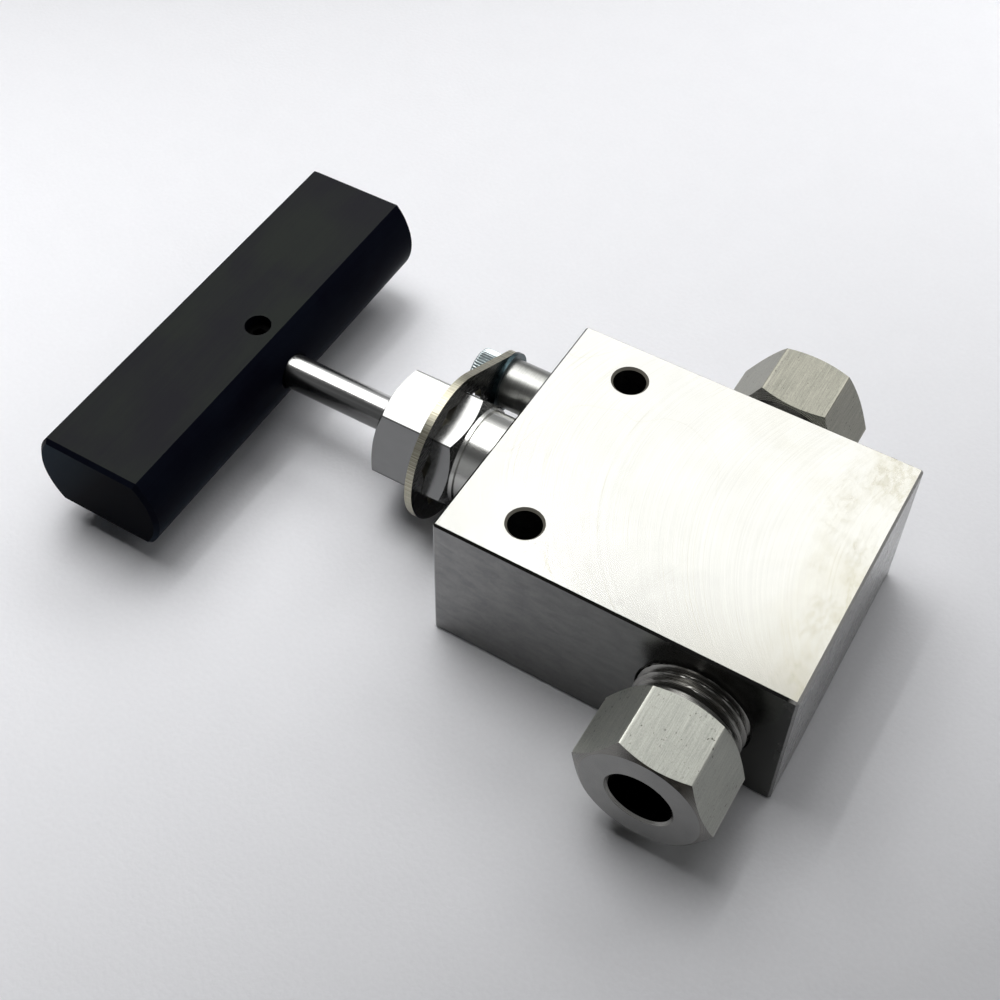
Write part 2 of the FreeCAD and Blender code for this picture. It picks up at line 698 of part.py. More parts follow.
def gland_nut(name, along, side, roll):
    """Hexagon nut with a hollow threaded shank; its own X axis points out of the block."""
    yaw = -90.0 if side < 0 else 90.0
    mouth = size("block_width") / 2.0 * float(side)
    body = new_body(name, along=along, across=mouth, yaw=yaw, roll=roll)
    face = size("nut_face_offset")
    back = face - size("nut_hex_length")
    tail = -size("nut_insertion")
    thread = size("port_thread") / 2.0 - FIT
    relief = size("nut_relief_diameter") / 2.0
    bevel = size("port_thread_pitch") / 2.0
    relief_start = back - size("port_thread_pitch")
    shank = new_sketch(body, "XZ_Plane")
    add_outline(shank, [
        (tail, ZERO), (tail, thread - bevel), (tail + bevel, thread), (relief_start, thread),
        (relief_start, relief), (back, relief), (back, ZERO),
    ])
    revolve(body, shank)

    flats = new_sketch(body, "YZ_Plane", back)
    add_outline(flats, hexagon(size("nut_hex"), ZERO))
    pad(body, flats, size("nut_hex_length"))
    for end, inwards in ((face, -1.0), (back, 1.0)):
        chamfer_hex_end(body, end, inwards, size("nut_hex"), size("nut_face_circle"))

    # bore over the tube, chamfered at the mouth and cupped at the tail for the collar's coned back
    bore = new_sketch(body, "XZ_Plane")
    tube = size("nut_bore") / 2.0
    lip = size("nut_mouth_chamfer")
    cup = size("nut_cup_depth")
    add_outline(bore, [
        (tail, ZERO), (tail, tube + cup), (tail + cup, tube), (face - lip, tube),
        (face, tube + lip), (face, ZERO),
    ])
    revolve(body, bore, cut=True)
    return body


def collar(name, along, side):
    """Ring that is screwed on the coned tube: the nut pushes it and it holds the tube in its cone."""
    yaw = -90.0 if side < 0 else 90.0
    mouth = size("block_width") / 2.0 * float(side)
    body = new_body(name, along=along, across=mouth, yaw=yaw)
    cup = size("nut_cup_depth")
    cone_tip = size("tube_bore") / 2.0
    outer = size("collar_diameter") / 2.0
    inner = size("collar_bore") / 2.0
    bevel = size("collar_front_chamfer")
    play = size("collar_play")
    back = -size("nut_insertion") - play
    front = back - size("collar_length")
    sketch = new_sketch(body, "XZ_Plane")
    add_outline(sketch, [
        (front, inner), (back + cup, inner), (back + cup, cone_tip), (back, cone_tip + cup),
        (back, outer), (front + bevel, outer), (front, outer - bevel),
    ])
    revolve(body, sketch)
    return body


def build_all():
    valve_body()
    packing_gland()
    packing_stack()
    stem_sleeve()
    lower_stem()
    ring("thrust_washer", COUNTERBORE_END, COUNTERBORE_END + size("thrust_washer_thickness"),
         size("stem_tip_diameter") * 2.0, size("stem_head_diameter"))
    stem_retainer()
    lock_plate()
    lock_plate_screw()
    ring("lock_plate_washer", PLATE_END, SPACER_START, LOCK_SCREW_HOLE, size("washer_diameter"),
         LOCK_SCREW_ACROSS)
    ring("lock_plate_spacer", SPACER_START, BONNET, LOCK_SCREW_HOLE, size("spacer_diameter"),
         LOCK_SCREW_ACROSS)
    handle()
    handle_set_screw()
    for place, along, side in (("inlet", ZERO, -1), ("outlet", OUTLET, 1)):
        gland_nut("gland_nut_" + place, along, side, size(place + "_nut_angle"))
        collar("collar_" + place, along, side)


def check_and_export():
    DOCUMENT.recompute()
    for item in DOCUMENT.Objects:
        if "Invalid" in item.State or "Error" in item.State:
            raise RuntimeError("%s failed: %s" % (item.Name, item.State))
    os.makedirs("parts", exist_ok=True)
    for item in DOCUMENT.Objects:
        if item.TypeId != "PartDesign::Body":
            continue
        shape = item.Shape
        if shape.isNull() or not shape.isValid() or len(shape.Solids) != 1:
            raise RuntimeError("%s is not one valid solid" % item.Label)
        shape.exportStep(os.path.join("parts", item.Label + ".step"))
        print("%-22s volume %9.1f mm3" % (item.Label, shape.Volume))


build_all()
check_and_export()
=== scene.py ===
import math

import bpy
import numpy as np
from mathutils import Matrix, Vector


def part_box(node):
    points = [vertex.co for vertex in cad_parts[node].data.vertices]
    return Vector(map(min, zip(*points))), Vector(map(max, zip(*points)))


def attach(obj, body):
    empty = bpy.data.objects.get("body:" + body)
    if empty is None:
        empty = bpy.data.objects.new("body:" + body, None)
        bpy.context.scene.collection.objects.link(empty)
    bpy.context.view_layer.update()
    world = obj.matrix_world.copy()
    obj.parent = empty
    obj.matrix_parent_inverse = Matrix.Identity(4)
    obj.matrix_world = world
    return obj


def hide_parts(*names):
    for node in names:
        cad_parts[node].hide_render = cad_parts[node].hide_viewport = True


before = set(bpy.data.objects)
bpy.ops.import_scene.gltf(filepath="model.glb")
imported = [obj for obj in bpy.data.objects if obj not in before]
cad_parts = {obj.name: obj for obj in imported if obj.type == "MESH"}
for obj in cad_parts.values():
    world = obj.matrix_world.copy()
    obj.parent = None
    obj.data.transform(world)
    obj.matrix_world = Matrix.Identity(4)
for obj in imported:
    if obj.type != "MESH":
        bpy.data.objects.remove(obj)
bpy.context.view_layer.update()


# The view. The camera stands in front of the inlet and above it, as it did for the photograph:
# its place and turn were solved from the block's corners, the nuts and the handle.

camera_place = (0.034038, -0.146521, 0.221173)
camera_right = (0.857445, 0.514448, 0.011488)
camera_up = (-0.392747, 0.639852, 0.660560)
camera_back = (0.332473, -0.570906, 0.750685)
picture_pixels = 1000
focal_pixels = 1542.9
centre_pixels = (490.6, 408.8)
sensor_width = 36.0

camera = bpy.data.objects.new("camera", bpy.data.cameras.new("camera"))
camera.data.sensor_width = sensor_width
camera.data.lens = focal_pixels / picture_pixels * sensor_width
camera.data.shift_x = 0.5 - centre_pixels[0] / picture_pixels
camera.data.shift_y = centre_pixels[1] / picture_pixels - 0.5
camera.data.clip_start = 0.005
camera.matrix_world = Matrix([
    (right, up, back, place)
    for right, up, back, place in zip(camera_right, camera_up, camera_back, camera_place)
] + [(0, 0, 0, 1)])
bpy.context.collection.objects.link(camera)
bpy.context.scene.camera = camera
bpy.context.scene.view_settings.view_transform = "Standard"


# The studio: a sheet of pale paper under soft lamps, most of them above and behind the handle, with a
# painted falloff of light across the paper.
# The room is dim, and only polished metal mirrors the pale band that runs round its foot.

class Signal:
    """A node's output. Arithmetic on signals adds Math nodes, and node() adds any other node."""

    def __init__(self, tree, socket=None):
        self.tree = tree
        self.socket = socket

    def node(self, kind, settings=None, inputs=None, output=0):
        made = self.tree.nodes.new("ShaderNode" + kind)
        for name, value in (settings or {}).items():
            setattr(made, name, value)
        for name, value in (inputs or {}).items():
            if isinstance(value, Signal):
                self.tree.links.new(value.socket, made.inputs[name])
            else:
                made.inputs[name].default_value = value
        return Signal(self.tree, made.outputs[output])

    def output(self, number):
        """Another output of the node that this signal comes from."""
        return Signal(self.tree, self.socket.node.outputs[number])

    def math(self, operation, *others):
        return self.node("Math", {"operation": operation}, dict(enumerate((self, *others))))

    def mix(self, first, second):
        """From the first colour to the second, as this signal goes from 0 to 1."""
        return self.node("Mix", {"data_type": "RGBA"}, {0: self, 6: first, 7: second}, 2)

    def between(self, low, high):
        """0 at low and 1 at high, with a straight slope between them and nothing beyond."""
        return self.node("MapRange", {}, {"Value": self, "From Min": low, "From Max": high})

    def __add__(self, other):
        return self.math("ADD", other)

    def __sub__(self, other):
        return self.math("SUBTRACT", other)

    def __mul__(self, other):
        return self.math("MULTIPLY", other)

    def __radd__(self, other):
        return self + other

    def __rsub__(self, other):
        return self * -1.0 + other

    def __rmul__(self, other):
        return self * other


def new_material(name):
    """A material with its shader: (material, a signal to build from, the shader's sockets)."""
    material = bpy.data.materials.new(name)
    material.use_nodes = True
    tree = material.node_tree
    tree.nodes.clear()
    shader = tree.nodes.new("ShaderNodeBsdfPrincipled")
    out = tree.nodes.new("ShaderNodeOutputMaterial")
    tree.links.new(shader.outputs[0], out.inputs["Surface"])
    return material, Signal(tree), shader.inputs


def feed(sockets, **signals):
    """Signals or plain values to the shader's sockets, named in small letters with _ for a space."""
    for name, value in signals.items():
        socket = next(s for s in sockets if s.name.lower().replace(" ", "_") == name)
        if isinstance(value, Signal):
            value.tree.links.new(value.socket, socket)
        else:
            socket.default_value = value


def object_place(start):
    """Where a point lies on its piece, in millimetres: as a vector, and as x, y and z."""
    metres = start.node("TexCoord", {}, {}, 3)
    place = metres.node("VectorMath", {"operation": "SCALE"}, {0: metres, "Scale": 1000.0})
    x = place.node("SeparateXYZ", {}, {0: place})
    return place, x, x.output(1), x.output(2)


def cloud(place, size, stretch=(1, 1, 1), detail=3.0, warp=0.0):
    """Noise about 0.5 in blobs of about size mm, drawn out by stretch along x, y and z."""
    cells = place.node("VectorMath", {"operation": "DIVIDE"},
                       {0: place, 1: [size * longer for longer in stretch]})
    return cells.node("TexNoise", {}, {"Vector": cells, "Scale": 1.0, "Detail": detail,
                                       "Distortion": warp})


def relief(height, depth=1.0):
    """The normal of a surface whose height goes from 0 to depth mm as the signal goes from 0 to 1."""
    return height.node("Bump", {}, {"Height": height, "Distance": depth / 1000})


floor_reach = 4.0
pale_paper, paper_in_painted_shade = (0.967, 0.970, 1.0, 1), (0.507, 0.509, 0.525, 1)

floor_mesh = bpy.data.meshes.new("floor")
floor_mesh.from_pydata([(-floor_reach, -floor_reach, 0), (floor_reach, -floor_reach, 0),
                        (floor_reach, floor_reach, 0), (-floor_reach, floor_reach, 0)],
                       [], [(0, 1, 2, 3)])
floor = bpy.data.objects.new("floor", floor_mesh)
bpy.context.collection.objects.link(floor)

paper, start, sockets = new_material("paper")
place, x, y, z = object_place(start)
fibres = cloud(place, 0.8, detail=5.0)
mottle = cloud(place, 9.0)
# painted light: the paper is painted pale towards the handle and the back, and greyer towards the blind end
# and the camera, a painted falloff; its fibres and mottle are its own
shade = 0.0047 * x - 0.0035 * y - 0.000038 * x * y + 0.0000106 * x * x + 0.000005 * y * y + 0.535
tone = shade + 0.10 * (fibres - 0.5) + 0.06 * (mottle - 0.5)
feed(sockets, base_color=tone.mix(pale_paper, paper_in_painted_shade), roughness=0.75,
     normal=relief(fibres, 0.05))
floor.data.materials.append(paper)

dim_light, mirrored_light, mirrored_band = 0.03, 0.04, 0.26
band_full, band_gone = 0.5, 0.75

world = bpy.data.worlds.new("room")
bpy.context.scene.world = world
world.use_nodes = True
world.node_tree.nodes.clear()
room = Signal(world.node_tree)
upward = room.node("SeparateXYZ", {}, {0: room.node("TexCoord", {}, {}, 0)}, 2)
mirrored = room.node("LightPath", {}, {}, 3)
band = 1.0 - upward.between(band_full, band_gone)
level = dim_light + mirrored * (mirrored_light + mirrored_band * band)
glow = room.node("Background", {}, {"Color": (0.97, 0.98, 1.0, 1), "Strength": level})
world_out = world.node_tree.nodes.new("ShaderNodeOutputWorld")
world.node_tree.links.new(glow.socket, world_out.inputs["Surface"])


def lamp(name, x, y, width, length, brightness, aim=None):
    """A soft rectangular lamp on the ceiling, facing down or towards aim.

    A brightness of 1 is that of white paper in the picture.
    """
    ceiling_height = 0.75
    place = Vector((x, y, ceiling_height))
    data = bpy.data.lights.new(name, "AREA")
    data.shape = "RECTANGLE"
    data.size = width
    data.size_y = length
    data.energy = math.pi * width * length * brightness
    made = bpy.data.objects.new(name, data)
    turn = (place - Vector(aim or (x, y, 0))).to_track_quat("Z", "Y").to_matrix().to_4x4()
    made.matrix_world = Matrix.Translation(place) @ turn
    made.visible_camera = False
    bpy.context.collection.objects.link(made)


lamp("key_panel", -0.30, 0.10, 0.45, 0.45, 4.6)
lamp("long_tube", -0.26, 0.15, 0.025, 0.50, 15.0)
lamp("left_panel", -0.60, 0.45, 0.30, 0.90, 3.4)
lamp("ceiling", -0.265, 0.68, 0.37, 0.54, 2.27)
lamp("ceiling_right", 0.11, 0.69, 0.38, 0.52, 2.6)
lamp("far_ceiling", -0.225, 1.25, 2.2, 0.60, 0.45)
lamp("overhead", 0.05, 0.05, 0.30, 0.40, 1.45)
lamp("right_panel", 0.75, 0.20, 0.60, 0.60, 0.8, aim=(0.0, 0.20, 0.0))


# The block: one piece of stainless bar, milled on all sides with a large face cutter and polished.
# The cutter's arcs show on the top, the sides are mottled, and the bolt holes are drilled.

def object_facing(start):
    """How far the surface faces along x, y and z: the parts of its normal on its piece."""
    x = start.node("SeparateXYZ", {}, {0: start.node("TexCoord", {}, {}, 1)})
    return x, x.output(1), x.output(2)


def lines(along, spacing, detail=2.0):
    """Noise that changes only along one signal, with lines about spacing mm wide."""
    return along.node("TexNoise", {"noise_dimensions": "1D"},
                      {"W": along * (1 / spacing), "Scale": 1.0, "Detail": detail})


def scratches(place, size, stretch, width, warp=0.3):
    """1 on thin winding lines, and 0 between them: where noise is within width of its middle."""
    return 1.0 - (cloud(place, size, stretch, 1.0, warp) - 0.5).math("ABSOLUTE").between(0.0, width)


lowest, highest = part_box("valve_body")
gland_end, blind_end, outlet_side = lowest.x * 1000, highest.x * 1000, highest.y * 1000
cutter_radius, cutter_path = 42.0, 6.7
polished = (0.412, 0.411, 0.388, 1), (0.465, 0.464, 0.440, 1)
dull = (0.32, 0.32, 0.316, 1), (0.36, 0.36, 0.354, 1)
inlet_painted_dark = (0.175, 0.176, 0.178, 1), (0.245, 0.245, 0.24, 1)
stained, shaded = (0.32, 0.30, 0.22, 1), (0.085, 0.086, 0.080, 1)
painted_dark_line, painted_pale_line, drilled = (0.03, 0.03, 0.028, 1), (0.34, 0.335, 0.32, 1), (0.15, 0.14, 0.115, 1)

block_steel, start, sockets = new_material("block_steel")
place, x, y, z = object_place(start)
facing_x, facing_y, facing_z = object_facing(start)
top = facing_z.between(0.6, 0.8)

# the top: the cutter's arcs, all of one radius, and short marks along the blind end
across = y - cutter_path
arcs = x + (cutter_radius ** 2 - across * across).math("SQRT")
feed_marks = 0.7 * lines(arcs, 0.22) + 0.3 * lines(arcs, 0.9)
edge_marks = lines(x + 0.12 * y, 0.35) * (x + 0.25 * y).between(7.0, 11.0)
long_arcs = 1.0 - (lines(arcs, 2.6, 0.0) - 0.5).math("ABSOLUTE").between(0.0, 0.012)
long_arcs = long_arcs * cloud(place, 14.0).between(0.48, 0.6)
hair = scratches(place, 22.0, (1, 2.5, 1), 0.001)
haze = cloud(place, 7.0, (1, 1.3, 1), 4.0, 0.6)
clean = (0.6 * feed_marks + 0.4 * haze).between(0.33, 0.67).mix(*polished)

# the top's stains: speckled at the blind end, and a haze over its inlet corner
specks = cloud(place, 1.1, (1, 1.6, 1), 6.0, 0.7).between(0.44, 0.66)
patches = cloud(place, 6.0, (1, 1.4, 1), 3.0).between(0.40, 0.62)
stain = (0.65 * specks + 0.35) * patches * (x + 0.25 * y).between(3.0, 13.0)
tarnish = cloud(place, 11.0, (1, 1.2, 1), 4.0, 0.7).between(0.45, 0.68)
tarnish = tarnish * (x + 0.6 * y).between(-12.0, 10.0)
streaks = lines(x + 0.04 * y, 1.5) * (x + 0.04 * y).between(4.0, 8.0)
smudge = (x - y).between(8.0, 40.0) * (0.2 + 0.8 * haze)
marks = (0.50 * stain + 0.24 * tarnish + 0.15 * streaks
         + 0.25 * hair + 0.3 * long_arcs + 0.45 * smudge)
marked = marks.mix(clean, stained)

# the sides: rubbed and mottled; the inlet side is a painted dark copy of their colour, with painted shade
# deepening towards its blind end and the floor, standing in for the shaded floor it mirrors
grain = cloud(place, 0.22, (2, 2, 2), 3.0)
rubbing = cloud(place, 1.5, (2.4, 1, 1), 5.0, 0.4)
rubbed = (0.7 * rubbing + 0.3 * grain).between(0.36, 0.64)
inlet_painted_shade = (0.5 * x.between(-46.0, -12.0) + 0.3 * x.between(-12.0, 6.0)
          + 0.2 * (1.0 - z.between(0.0, 20.0)))
inlet_face = inlet_painted_shade.mix(rubbed.mix(*inlet_painted_dark), shaded)
sides = (-1.0 * facing_y).between(0.6, 0.8).mix(rubbed.mix(*dull), inlet_face)

# the chamfers: a painted dark reflection on the edges and a painted pale highlight at the blind end, and
# bare drilled steel round the holes
bevel = facing_z.between(0.3, 0.5) * (1.0 - facing_z.between(0.85, 0.95))
inside = 1.0 - y.math("ABSOLUTE").between(outlet_side - 1.4, outlet_side - 0.9)
inside = inside * x.between(gland_end + 0.8, gland_end + 1.3)
inside = inside * (1.0 - x.between(blind_end - 1.7, blind_end - 1.2))
at_blind_end = x.between(blind_end - 1.7, blind_end - 0.7)
hole_rim = bevel * inside
pale_line_mask = bevel * at_blind_end
dark_line_mask = bevel * (1.0 - inside) * (1.0 - at_blind_end)
edged = pale_line_mask.mix(dark_line_mask.mix(top.mix(sides, marked), painted_dark_line), painted_pale_line)

side = 1.0 - top
roughness = (0.16 + 0.05 * feed_marks + 0.05 * edge_marks + 0.10 * stain
             + 0.10 * side * rubbing + 0.3 * hole_rim)
height = (top * (0.0012 * feed_marks + 0.0012 * edge_marks - 0.002 * hair + 0.003 * stain)
          + side * (0.010 * rubbing + 0.004 * grain))
feed(sockets, base_color=hole_rim.mix(edged, drilled), metallic=1.0 - 0.8 * (hole_rim + pale_line_mask),
     roughness=roughness, normal=relief(height))


def wear(names, material):
    """Gives carried nodes their finish."""
    for name in names:
        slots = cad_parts[name].data.materials
        slots.clear()
        slots.append(material)


wear(["valve_body"], block_steel)


# The packing, inside the block: three rings of white plastic between two steel washers.
# The gland's nose squeezes them on the stem, which is a hardened and polished needle.

packing, start, sockets = new_material("packing")
place, x, y, z = object_place(start)
grain = cloud(place, 0.4)
feed(sockets, base_color=grain.between(0.3, 0.7).mix((0.72, 0.71, 0.67, 1), (0.82, 0.81, 0.78, 1)),
     roughness=0.55, normal=relief(grain, 0.01))
wear(["packing_ring_1", "packing_ring_2", "packing_ring_3"], packing)

axis_height = 14.3


def distance(across, up):
    """How far a point is from an axis: the root of the sum of the two squares."""
    return (across * across + up * up).math("SQRT")


turned_steel, start, sockets = new_material("turned_steel")
place, x, y, z = object_place(start)
cuts = lines(x + 0.7 * distance(y, z - axis_height), 0.12)
feed(sockets, base_color=cuts.between(0.3, 0.7).mix((0.47, 0.46, 0.43, 1), (0.56, 0.55, 0.52, 1)),
     metallic=1.0, roughness=0.2 + 0.15 * cuts, normal=relief(cuts, 0.002))
wear(["upper_packing_washer", "lower_packing_washer", "lower_stem", "thrust_washer",
      "stem_retainer"], turned_steel)


# The packing gland: a long polished hexagon with a round neck, screwed into the block's end.
# Its flats are buffed and its neck is turned, so the neck has fine lines round it. Painted light: the
# upward flats carry a painted highlight, the neck is painted dark below and pale on top, and a painted dark
# reflection runs along the corners.

neck_start = gland_end - 7.3
gland_corner = 11.0
flat = (0.185, 0.187, 0.187, 1), (0.325, 0.325, 0.318, 1)
underneath, above = (0.045, 0.042, 0.047, 1), (0.66, 0.66, 0.63, 1)
corner_painted_reflection = (0.02, 0.02, 0.02, 1)

polished_steel, start, sockets = new_material("polished_steel")
place, x, y, z = object_place(start)
facing_x, facing_y, facing_z = object_facing(start)
from_axis = distance(y, z - axis_height)
end_face = facing_x.math("ABSOLUTE").between(0.4, 0.6)
round_part = x.between(neck_start - 0.1, neck_start + 0.1)
turning = lines(x, 0.16) * round_part + lines(from_axis, 0.16) * end_face
buffing = cloud(place, 0.9, (3, 1, 1), 4.0, 1.2) * (1.0 - round_part)
buffs = scratches(place, 3.0, (1.6, 1, 1), 0.02, 1.8) * (1.0 - round_part)
# painted highlight on the flats that face up, over the real buffing
top_painted_highlight_and_buffing = 0.35 * buffing + 0.05 * buffs + 0.65 * facing_z.between(0.5, 0.8)
# painted shade under the neck and painted highlight on its top
neck = (0.94 * z.between(13.0, 20.0) + 0.06 * turning).mix(underneath, above)
surface = round_part.mix(top_painted_highlight_and_buffing.between(0.0, 0.9).mix(*flat), neck)
# painted dark reflection along the hexagon's corners
corners = from_axis.between(gland_corner - 0.10, gland_corner - 0.06) * (1.0 - end_face)
feed(sockets, base_color=(0.9 * corners).mix(surface, corner_painted_reflection), metallic=1.0,
     roughness=0.16 + 0.10 * buffing + 0.10 * turning + 0.04 * buffs,
     normal=relief(0.005 * turning + 0.004 * buffing - 0.001 * buffs))
wear(["packing_gland"], polished_steel)


# The lock plate: stamped from sheet, with an ear and a twelve-pointed hole over the gland's hexagon.
# The stamp leaves short lines across the thickness of its rim, and a satin face, which is painted dark as
# shade.

plate_radius = 13.9
stamped = (0.24, 0.225, 0.175, 1), (0.52, 0.50, 0.40, 1)
plate_face_painted_shade = (0.08, 0.08, 0.075, 1), (0.14, 0.14, 0.13, 1)

plate_steel, start, sockets = new_material("plate_steel")
place, x, y, z = object_place(start)
facing_x, facing_y, facing_z = object_facing(start)
rim = 1.0 - facing_x.math("ABSOLUTE").between(0.3, 0.6)
round_place = (z - axis_height).math("ARCTAN2", y)
stamping = lines(round_place * plate_radius, 0.22)
face_grain = cloud(place, 0.3, (1, 6, 1))
rim_colour = stamping.between(0.35, 0.65).mix(*stamped)
feed(sockets, base_color=rim.mix(face_grain.mix(*plate_face_painted_shade), rim_colour),
     metallic=1.0, roughness=0.22 + 0.18 * stamping * rim + 0.1 * face_grain,
     normal=relief(rim * stamping * 0.02 + (1.0 - rim) * face_grain * 0.003))
wear(["lock_plate"], plate_steel)


# The spacer: a short round sleeve turned from steel bar, with a satin skin and fine lathe lines.
# It holds the plate's ear away from the block, and the lock screw goes through it.

turned_spacer, start, sockets = new_material("turned_spacer")
place, x, y, z = object_place(start)
lathe_lines = lines(x, 0.14)
satin = cloud(place, 0.5, (1, 3, 3))
skin_tone = (0.5 * lathe_lines + 0.5 * satin).between(0.3, 0.7)
feed(sockets, base_color=skin_tone.mix((0.28, 0.285, 0.27, 1), (0.39, 0.39, 0.37, 1)), metallic=1.0,
     roughness=0.28 + 0.12 * lathe_lines, normal=relief(0.004 * lathe_lines + 0.004 * satin))
wear(["lock_plate_spacer"], turned_spacer)


# The lock screw: a socket head cap screw, cold formed, its head knurled for the fingers, zinc plated.
# It goes through the plate's ear, a washer and the spacer into the block.

def skin(name, rings, capped=False):
    """A mesh over rings, an array (ring, column, 3) of points in mm that goes round and then along.

    Each ring joins the next one. With capped, a point closes the first ring and the last; without it
    the last ring joins the first, as on a piece with a hole through it.
    """
    count, columns = rings.shape[:2]
    ring = np.arange(count - 1 if capped else count)[:, None]
    column = np.arange(columns)[None, :]
    ahead, beside = (ring + 1) % count, (column + 1) % columns
    faces = np.stack([ring * columns + column, ring * columns + beside,
                      ahead * columns + beside, ahead * columns + column], -1).reshape(-1, 4).tolist()
    points = rings.reshape(-1, 3)
    if capped:
        first, last = len(points), len(points) + 1
        points = np.vstack([points, rings[0].mean(0), rings[-1].mean(0)])
        edge, next_edge = column[0], beside[0]
        faces += np.stack([np.full(columns, first), next_edge, edge], -1).tolist()
        far = (count - 1) * columns
        faces += np.stack([np.full(columns, last), far + edge, far + next_edge], -1).tolist()
    mesh = bpy.data.meshes.new(name)
    mesh.from_pydata((points / 1000).tolist(), [], faces)
    mesh.polygons.foreach_set("use_smooth", np.ones(len(faces), bool))
    mesh.set_sharp_from_angle(angle=math.radians(28))
    made = bpy.data.objects.new(name, mesh)
    bpy.context.collection.objects.link(made)
    return made


def hexagon(angles, across_flats, corner, rounding):
    """The radius of a hexagon at each angle: a / cos(t) on a flat, where t is the angle from its middle,
    and c cos(s) + sqrt(r^2 - c^2 sin(s)^2) on the rounded corner, where s is the angle from the corner."""
    from_corner = (angles - corner + math.pi / 6) % (math.pi / 3) - math.pi / 6
    from_flat = math.pi / 6 - np.abs(from_corner)
    centre = (across_flats / 2 - rounding) / math.cos(math.pi / 6)
    edge = math.atan((across_flats / 2 - rounding) * math.tan(math.pi / 6) / (across_flats / 2))
    inside = np.maximum(rounding ** 2 - (centre * np.sin(from_corner)) ** 2, 0.0)
    return np.where(from_flat < edge, across_flats / 2 / np.cos(from_flat),
                    centre * np.cos(from_corner) + np.sqrt(inside))


def spread(values, angles):
    """A row for each value, over all the angles: a number stays the same all round."""
    return np.array([np.broadcast_to(value, angles.shape) for value in values])


screw_across = 18.0
head, head_top, head_seat, head_round = 4.3, -64.4, -59.9, 0.4
socket_width, socket_mouth, socket_depth = 4.0, 2.36, 2.4
shank, shank_end, point, point_length = 2.45, -39.8, 2.05, 0.4
ridges, steps_per_ridge, ridge_depth = 48, 8, 0.3
corner = math.radians(8.2)

# each station is a place along x and a radius: the socket, the knurled head, and the shank
columns = ridges * steps_per_ridge
angles = corner + np.arange(columns) * 2 * math.pi / columns
socket = hexagon(angles, socket_width, corner, 0.0)
groove = 0.5 - 0.5 * np.cos(ridges * (angles - corner))
knurl = [(head_top + head_round - head_round * math.cos(turn),
          head - head_round + head_round * math.sin(turn), 0.06 * step)
         for step, turn in enumerate(np.linspace(0, math.pi / 2, 6))]
knurl += [(head_top + 0.65, head, 1.0), (head_seat - 0.5, head, 1.0),
          (head_seat - 0.25, head, 0.3), (head_seat, head - 0.15, 0.0)]
stations = [(head_top + socket_depth, socket), (head_top + (socket_mouth - socket) * 0.6, socket),
            (head_top, socket_mouth)]
stations += [(along, radius - ridge_depth * depth * groove) for along, radius, depth in knurl]
stations += [(head_seat, shank), (shank_end, shank), (shank_end + point_length, point)]
along = spread([along for along, radius in stations], angles)
radius = spread([radius for along, radius in stations], angles)
screw = skin("lock_screw", np.stack([along, screw_across + radius * np.cos(angles),
                                     axis_height + radius * np.sin(angles)], -1), capped=True)
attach(screw, "valve")
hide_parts("lock_plate_screw")

bright_zinc = (0.46, 0.54, 0.57, 1), (0.70, 0.76, 0.76, 1)
zinc_in_painted_shade = (0.02, 0.035, 0.04, 1), (0.06, 0.09, 0.10, 1)
knurl_groove_shade = (0.06, 0.09, 0.10, 1)

zinc, start, sockets = new_material("zinc_plating")
place, x, y, z = object_place(start)
facing_x, facing_y, facing_z = object_facing(start)
spangle = cloud(place, 0.9, detail=4.0)
round_place = (z - axis_height).math("ARCTAN2", y - screw_across)
grooves = 0.5 - 0.5 * ((round_place - corner) * ridges).math("COSINE")
knurled = 1.0 - facing_x.math("ABSOLUTE").between(0.5, 0.8)
bright = (0.5 * spangle + 0.5).mix(*bright_zinc)
# painted shade in the knurl's grooves
feed(sockets, base_color=(0.65 * grooves * knurled).mix(bright, knurl_groove_shade),
     metallic=1.0, roughness=0.2 + 0.25 * spangle, normal=relief(spangle, 0.006))
screw.data.materials.append(zinc)

# The washer: zinc painted dark, as painted shade between the plate's ear and the spacer.
dark_zinc, start, sockets = new_material("dark_zinc")
place, x, y, z = object_place(start)
spangle = cloud(place, 0.7, detail=4.0)
feed(sockets, base_color=spangle.between(0.3, 0.7).mix(*zinc_in_painted_shade),
     metallic=1.0, roughness=0.25 + 0.2 * spangle, normal=relief(spangle, 0.004))
wear(["lock_plate_washer"], dark_zinc)


# The rod: ground and polished round steel, in one piece with the threaded sleeve inside the gland.
# It turns with the handle and moves along its own axis. Its inlet side has a painted dark band, a painted
# reflection of the shaded floor.

pale_rod, rod_painted_reflection = (0.60, 0.60, 0.59, 1), (0.12, 0.12, 0.118, 1)

rod_steel, start, sockets = new_material("rod_steel")
place, x, y, z = object_place(start)
facing_x, facing_y, facing_z = object_facing(start)
grinding = lines(x, 0.09)
smear = cloud(place, 2.5, (4, 1, 1))
# painted reflection: a dark band on the side that faces the inlet
painted_dark_band = (facing_y * -1.0).between(0.5, 0.75) * z.between(12.2, 13.4)
feed(sockets, base_color=(0.85 * painted_dark_band + 0.15 * smear).mix(pale_rod, rod_painted_reflection),
     metallic=1.0, roughness=0.16 + 0.06 * grinding + 0.06 * smear, normal=relief(grinding, 0.001))
wear(["stem_sleeve"], rod_steel)


# The handle: a bar of aluminium with two milled flats, anodised black, that a black set screw holds.
# The anodising is satin; the drawn sides and the milled flats show through it as faint lines. The sides are
# painted navy towards the floor and the end faces pale at their outer top, as painted reflections.

milled = (0.0220, 0.0220, 0.0255, 1), (0.0262, 0.0292, 0.0268, 1)
side_black_to_painted_navy = (0.0034, 0.0036, 0.0078, 1), (0.014, 0.022, 0.033, 1)
end_painted_reflection = (0.023, 0.038, 0.056, 1), (0.0005, 0.001, 0.003, 1)
oxide = (0.0005, 0.0005, 0.0006, 1), (0.002, 0.002, 0.0022, 1)

